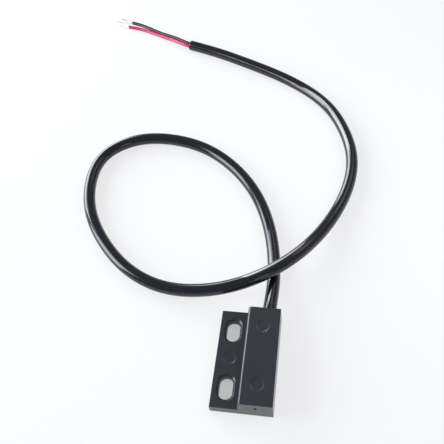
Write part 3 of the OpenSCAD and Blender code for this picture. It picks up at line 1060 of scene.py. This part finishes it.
@dataclass
class Case:
    """The moulded case and the resin in its pocket."""

    edge_r: float = 0.12 * MM
    slot_edge_r: float = 0.05 * MM
    gate_edge_r: float = 0.03 * MM
    step_r: float = 0.45 * MM
    shown_step_r: float = 0.7 * MM
    edge_steps: int = 3
    sharp_deg: float = 28.0
    crease_deg: float = 9.0
    edge_margin: float = 0.4 * MM
    block_foot_x: float = -0.7 * MM
    flange_top: float = 2.35 * MM
    gate_place: tuple[float, float] = (3.125 * MM, 3.9 * MM)
    gate_reach: float = 0.55 * MM
    face_reach: float = 0.15 * MM
    mark_depth: float = 0.1 * MM
    mark_deepened: float = 0.025 * MM
    round_slack: float = 0.01
    meniscus_rise: float = 0.09 * MM
    meniscus_reach: float = 0.35 * MM
    ripple: float = 0.012 * MM
    ripple_wave: float = 3.1 * MM
    resin_step: float = 0.4 * MM
    resin_rings: int = 14
    resin_sharp_deg: float = 35.0
    facing_down: float = -0.99

    def build(self) -> None:
        """Makes the case with eased edges and the resin with its curved surface."""
        MOULDED_BLACK.dress(self._housing(), "housing")
        CAST_RESIN.dress(self._resin(), "potting")

    def _slots(self, mids: Array) -> Array:
        """Edges inside the outline of the flange, which are those of the slots."""
        low, high = span("housing")
        x, y = mids[:, 0], mids[:, 1]
        inside = (x > low[0] + self.edge_margin) & (x < self.block_foot_x - self.edge_margin)
        return inside & (np.abs(y) < high[1] - self.edge_margin)

    def _gate(self, mids: Array) -> Array:
        """Edges of the gate mark on the end face."""
        x, z = self.gate_place
        off = np.hypot(mids[:, 0] - x, mids[:, 2] - z)
        return (off < self.gate_reach) & (mids[:, 1] < span("housing")[0][1] + self.edge_margin)

    def _top_marks(self, mids: Array) -> Array:
        """Edges that lie in the top faces, inside their outlines, which are those of the pin marks."""
        high = span("housing")[1]
        x, y, z = mids.T
        inset = 2 * self.edge_margin
        block = (np.abs(z - high[2]) < self.face_reach) & (x > self.block_foot_x + inset)
        block &= x < high[0] - inset
        flange = (np.abs(z - self.flange_top) < self.face_reach) & self._slots(mids)
        return (block | flange) & (np.abs(y) < high[1] - inset)

    def _housing(self) -> Piece:
        """A copy of the case with its sharp edges rounded, each group to its own radius.

        Returns:
            The new object, with a bevel by edge weight. The rims of the pin marks stay creased.
        """
        bm = merged_copy("housing")
        bm.edges.ensure_lookup_table()
        turn = np.degrees([abs(e.calc_face_angle(0.0)) for e in bm.edges])
        mids = np.array([(e.verts[0].co + e.verts[1].co) / 2 for e in bm.edges])
        radius = np.full(len(turn), self.edge_r)
        radius[self._slots(mids)] = self.slot_edge_r
        radius[self._gate(mids)] = self.gate_edge_r
        radius[turn < self.sharp_deg] = 0.0
        creased = (turn > self.crease_deg) & (turn < self.sharp_deg) & self._top_marks(mids)
        mesh = bpy.data.meshes.new("housing_form")
        bm.to_mesh(mesh)
        bm.free()
        self._soften(mesh)
        mesh.shade_smooth()
        weight = mesh.attributes.new("bevel_weight_edge", "FLOAT", "EDGE")
        weight.data.foreach_set("value", (radius / radius.max()).astype(np.float32))
        crease = mesh.attributes.new("sharp_edge", "BOOLEAN", "EDGE")
        crease.data.foreach_set("value", creased)
        piece = place("housing_form", mesh)
        bevel = piece.modifiers.new("eased edges", "BEVEL")
        bevel.limit_method = "WEIGHT"
        bevel.width = float(radius.max())
        bevel.segments = self.edge_steps
        bevel.use_clamp_overlap = False
        crisp(piece)
        return piece

    def _soften(self, mesh: bpy.types.Mesh) -> None:
        """Lowers the floors of the pin marks and widens the round at the step, to catch the light.

        A point of the round lies at c + r (cos a, sin a). It keeps its angle on the wider round,
        which touches the same two faces: p + (R - r) (1 + cos a, sin a - 1).

        Args:
            mesh: The merged case.
        """
        points = np.empty(3 * len(mesh.vertices), np.float32)
        mesh.vertices.foreach_get("co", points)
        points = points.reshape(-1, 3)
        top = span("housing")[1][2]
        off = np.abs(points[:, 2:] - np.array([self.flange_top, top]) + self.mark_depth).min(axis=1)
        points[off < MERGE_DIST, 2] -= self.mark_deepened
        left = points[points[:, 2] > self.flange_top + self.face_reach, 0].min()
        turn = (points[:, ::2] - [left + self.step_r, top - self.step_r]) / self.step_r
        on_round = (turn[:, 0] < MERGE_DIST) & (np.abs(np.hypot(*turn.T) - 1) < self.round_slack)
        shift = (self.shown_step_r - self.step_r) * (turn[on_round] + [1.0, -1.0])
        points[on_round, 0] += shift[:, 0]
        points[on_round, 2] += shift[:, 1]
        mesh.vertices.foreach_set("co", points.ravel())
        mesh.update()

    def _resin(self) -> Piece:
        """The resin, whose open surface creeps up the walls of the pocket.

        A copy of the solid loses its flat open face. Rings run from that face's outline to the
        spine of the pocket. At a distance d from the wall a ring lies
        rise exp(-d / reach) nearer the rim, plus a faint ripple.

        Returns:
            The new object.
        """
        bm = merged_copy("potting")
        low, high = span("potting")
        level = low[2]
        flat = [
            f for f in bm.faces
            if f.normal.z < self.facing_down and abs(f.calc_center_median().z - level) < MERGE_DIST
        ]
        bmesh.ops.delete(bm, geom=flat, context="FACES_ONLY")
        rim = [e for e in bm.edges if e.is_boundary]
        for edge in rim:
            cuts = int(edge.calc_length() / self.resin_step)
            if cuts:
                bmesh.ops.subdivide_edges(bm, edges=[edge], cuts=cuts)
        rim = {v for e in bm.edges if e.is_boundary for v in e.verts}
        centre = (low + high) / 2
        corners = sorted(rim, key=lambda v: math.atan2(v.co.y - centre[1], v.co.x - centre[0]))
        outline = np.array([v.co for v in corners])
        half = (high - low) / 2
        spine = np.stack([
            np.full(len(outline), centre[0]),
            np.clip(outline[:, 1], centre[1] - half[1] + half[0], centre[1] + half[1] - half[0]),
        ], axis=-1)
        share = np.linspace(0, 1, self.resin_rings)[:, None, None] ** 2
        grid = outline[None, :, :2] + share * (spine - outline[:, :2])[None]
        depth = np.linalg.norm(grid - outline[None, :, :2], axis=-1)
        phase = np.pi * grid / self.ripple_wave
        wave = np.sin(2 * phase[..., 1]) * np.cos(phase[..., 0])
        creep = np.exp(-depth / self.meniscus_reach)
        z = level - self.meniscus_rise * creep + self.ripple * wave * (1 - creep)
        surface = np.concatenate([grid, z[..., None]], axis=-1)
        for vert, point in zip(corners, surface[0]):
            vert.co = point
        mesh = bpy.data.meshes.new("potting_form")
        bm.to_mesh(mesh)
        bm.free()
        return self._with_surface(mesh, surface)

    def _with_surface(self, mesh: bpy.types.Mesh, surface: Array) -> Piece:
        """Joins the rings of the open surface to the walls of the resin.

        Args:
            mesh: The resin without its open face.
            surface: Ring points of shape (rings, points, 3), the first ring on the walls.

        Returns:
            The new object.
        """
        bm = bmesh.new()
        bm.from_mesh(mesh)
        rings, sides = surface.shape[:2]
        skin = bpy.data.meshes.new("resin_skin")
        skin.from_pydata(surface.reshape(-1, 3), [], tube_faces(1, rings, sides))
        bm.from_mesh(skin)
        bpy.data.meshes.remove(skin)
        bmesh.ops.remove_doubles(bm, verts=bm.verts, dist=MERGE_DIST)
        bmesh.ops.recalc_face_normals(bm, faces=bm.faces)
        bm.to_mesh(mesh)
        bm.free()
        mesh.shade_smooth()
        mesh.set_sharp_from_angle(angle=math.radians(self.resin_sharp_deg))
        return place("potting_form", mesh)


@dataclass
class Reed:
    """The sealed glass contact with its two leads, two blades and two solder joints."""

    glass_wall: float = 0.25 * MM
    seal_l: float = 1.4 * MM
    neck_l: float = 0.5 * MM
    glass_end_r: float = 0.45 * MM
    lead_d: float = 0.5 * MM
    blade_w: float = 0.8 * MM
    blade_t: float = 0.2 * MM
    press_l: float = 0.45 * MM
    tip_bevel: float = 0.16 * MM
    root_gap: float = 0.003 * MM
    end_round: float = 0.04 * MM
    end_run: float = 0.16 * MM
    flat_power: float = 7.0
    sides: int = 32
    lead_rings: int = 60
    blade_rings: int = 30
    tip_rings: int = 8
    glass_sides: int = 64
    glass_steps: int = 10
    solder_rings: int = 33
    solder_sides: int = 48
    solder_tilt: float = 0.4
    solder_least: float = 0.9
    solder_neck: float = 0.45

    def build(self) -> None:
        """Makes the glass, and for each end its lead, its blade and its solder joint."""
        REED_GLASS.dress(self._glass(), "glass_tube")
        for side in Side:
            LEAD_METAL.dress(self._lead(side), side.word + "_lead")
            CONTACT_METAL.dress(self._blade(side), side.word + "_blade", side.blade_body)
            SOLDER.dress(self._joint(side), side.word + "_solder")

    def _glass(self) -> Piece:
        """The glass, turned round the reed's axis from one closed profile.

        The outside is a straight wall with rounded ends. The inside is a bore that narrows on a
        smooth step to the leads, where the glass is sealed on them.

        Returns:
            The new object.
        """
        low, high = span("glass_tube")
        end, radius = (high[1] - low[1]) / 2, (high[2] - low[2]) / 2
        bore, lead, seal = radius - self.glass_wall, self.lead_d / 2, end - self.seal_l
        bend = quarter(self.glass_steps)
        round_r = radius - self.glass_end_r * (1 - np.sin(bend))
        round_y = end - self.glass_end_r * (1 - np.cos(bend))
        neck = np.linspace(0, 1, self.glass_steps)
        neck_y = seal - self.neck_l * neck
        neck_r = lead + (bore - lead) * ease(neck)
        half_r = np.r_[lead, round_r]
        half_y = np.r_[end, round_y]
        inner_r = np.r_[lead, neck_r]
        inner_y = np.r_[end, neck_y]
        r = np.r_[half_r, half_r[::-1], inner_r, inner_r[::-1], half_r[:1]]
        y = np.r_[half_y, -half_y[::-1], -inner_y, inner_y[::-1], half_y[:1]]
        grid = turned(r, y, self.glass_sides)[..., [0, 2, 1]] * [1, 1, -1]
        return new_piece("glass_tube_form", [grid + (low + high) / 2])

    def _along(self, side: Side, name: str, y: Array, z: Array, section: Array) -> Piece:
        """A piece whose sections stand along the reed, closed at both ends.

        Args:
            side: Which end of the reed; the far one is turned half round across the reed.
            name: Name of the piece.
            y: Place of each ring along the reed from its middle, for the near end.
            z: Height of each ring over the reed's axis, for the near end.
            section: Section points of shape (rings, sides, 2).

        Returns:
            The new object.
        """
        at = np.r_[0, np.arange(len(y)), len(y) - 1]
        section = section[at]
        section[[0, -1]] = 0.0
        points = np.stack([
            section[..., 0],
            side.value * np.broadcast_to(y[at][:, None], section.shape[:2]),
            side.value * (section[..., 1] + z[at][:, None]),
        ], axis=-1)
        piece = new_piece(name, [(points + middle("glass_tube"))[None]])
        crisp(piece)
        return piece

    def _reach(self, side: Side, node: str) -> tuple[float, float]:
        """Where a node starts and ends along the reed, measured as for the near end."""
        low, high = span(node)
        ends = np.sort(side.value * (np.array([low[1], high[1]]) - middle("glass_tube")[1]))
        return float(ends[0]), float(ends[1])

    def _blade_height(self, side: Side) -> float:
        """Height of a blade's middle over the reed's axis, measured as for the near end."""
        return float(side.value * (middle(side.word + "_blade") - middle("glass_tube"))[2])

    def _lead(self, side: Side) -> Piece:
        """A round wire that is pressed flat at its inner end.

        Along the press the section goes from a circle to a flat strip on a smooth step, and its
        middle rises to the height of the blade.

        Args:
            side: Which end of the reed.

        Returns:
            The new object.
        """
        start, end = self._reach(side, side.word + "_lead")
        rest = np.linspace(start + self.end_run, end, self.lead_rings)
        y = np.r_[start, start + self.end_round, rest]
        press = ease((y - (end - self.press_l - self.blade_t)) / self.press_l)
        wire = self.lead_d / 2 * np.where(y == start, 1 - self.end_round / self.lead_d, 1.0)
        half_w = wire + (self.blade_w / 2 - wire) * press
        half_t = wire + (self.blade_t / 2 - wire) * press
        section = squared(half_w, half_t, 2 + (self.flat_power - 2) * press, self.sides)
        z = self._blade_height(side) * press
        return self._along(side, side.word + "_lead_form", y, z, section)

    def _blade(self, side: Side) -> Piece:
        """A flat strip whose two tip corners are taken off, with room to turn at its root.

        Args:
            side: Which end of the reed.

        Returns:
            The new object.
        """
        start, end = self._reach(side, side.word + "_blade")
        start += self.root_gap
        corner = end - self.tip_bevel
        tip = np.linspace(corner, end, self.tip_rings)[1:]
        y = np.r_[np.linspace(start, corner, self.blade_rings), tip]
        half_w = self.blade_w / 2 - np.clip(y - corner, 0, None)
        half_t = np.full(len(y), self.blade_t / 2)
        section = squared(half_w, half_t, np.full(len(y), self.flat_power), self.sides)
        z = np.full(len(y), self._blade_height(side))
        return self._along(side, side.word + "_blade_form", y, z, section)

    def _joint(self, side: Side) -> Piece:
        """A blob of solder that reaches out along the lead and the strands.

        Its radius in a direction is R (least + (1 - least) max over both wires of
        exp(-(angle to the wire / neck)^2)).

        Args:
            side: Which end of the reed.

        Returns:
            The new object.
        """
        low, high = span(side.word + "_solder")
        centre, radius = (low + high) / 2, (high[2] - low[2]) / 2
        rise = np.linspace(0, np.pi, self.solder_rings)
        way = turned(np.sin(rise), np.cos(rise), self.solder_sides)
        strands = np.array([1.0, 0.0, 0.0] if side is Side.NEAR else [0.0, 1.0, 0.0])
        tilt = self.solder_tilt
        wires = np.stack([unit(strands + tilt * UP), [0.0, 1.0, -tilt], [0.0, -1.0, -tilt]])
        angle = np.arccos(np.clip(way @ unit(wires).T, -1, 1))
        pull = np.exp(-((angle / self.solder_neck) ** 2)).max(axis=-1, keepdims=True)
        grid = centre + radius * (self.solder_least + (1 - self.solder_least) * pull) * way
        return new_piece(side.word + "_solder_form", [grid])


def main() -> None:
    """Builds the scene: camera and cable first, then the case, the reed and the studio."""
    logging.basicConfig(level=logging.INFO, format="%(name)s: %(message)s")
    bpy.context.scene.view_settings.view_transform = "Standard"
    studio = Studio()
    studio.camera()
    Cable().build()
    Case().build()
    Reed().build()
    studio.sweep()
    studio.lights()


if __name__ == "__main__":
    main()
